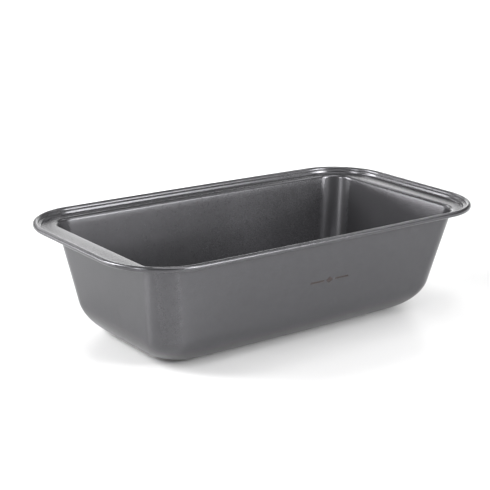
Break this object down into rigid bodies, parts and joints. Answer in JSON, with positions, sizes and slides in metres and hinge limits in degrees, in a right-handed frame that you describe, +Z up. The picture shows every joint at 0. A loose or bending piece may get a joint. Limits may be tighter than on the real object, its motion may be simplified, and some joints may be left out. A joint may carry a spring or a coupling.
{
  "type": "loaf pan",
  "caption": "Rectangular non-stick loaf pan with drafted walls, large rounded base edge, stepped flange wider at the ends, and a rolled wire rim.",
  "frame": {"origin": "centre of the base's underside, on the surface the pan stands on", "axes": "+X along the pan's length, +Y across it, +Z up towards the open mouth"},
  "size_m": [0.28, 0.151, 0.0736],
  "materials": {
    "nonstick_steel": "satin dark grey metallic non-stick coating over thin drawn steel, inside and out",
    "wire_steel": "plain drawn steel wire, hidden inside the rolled rim"
  },
  "bodies": {
    "root": {"pan_shell": "nonstick_steel", "rim_wire": "wire_steel"}
  },
  "joints": []
}
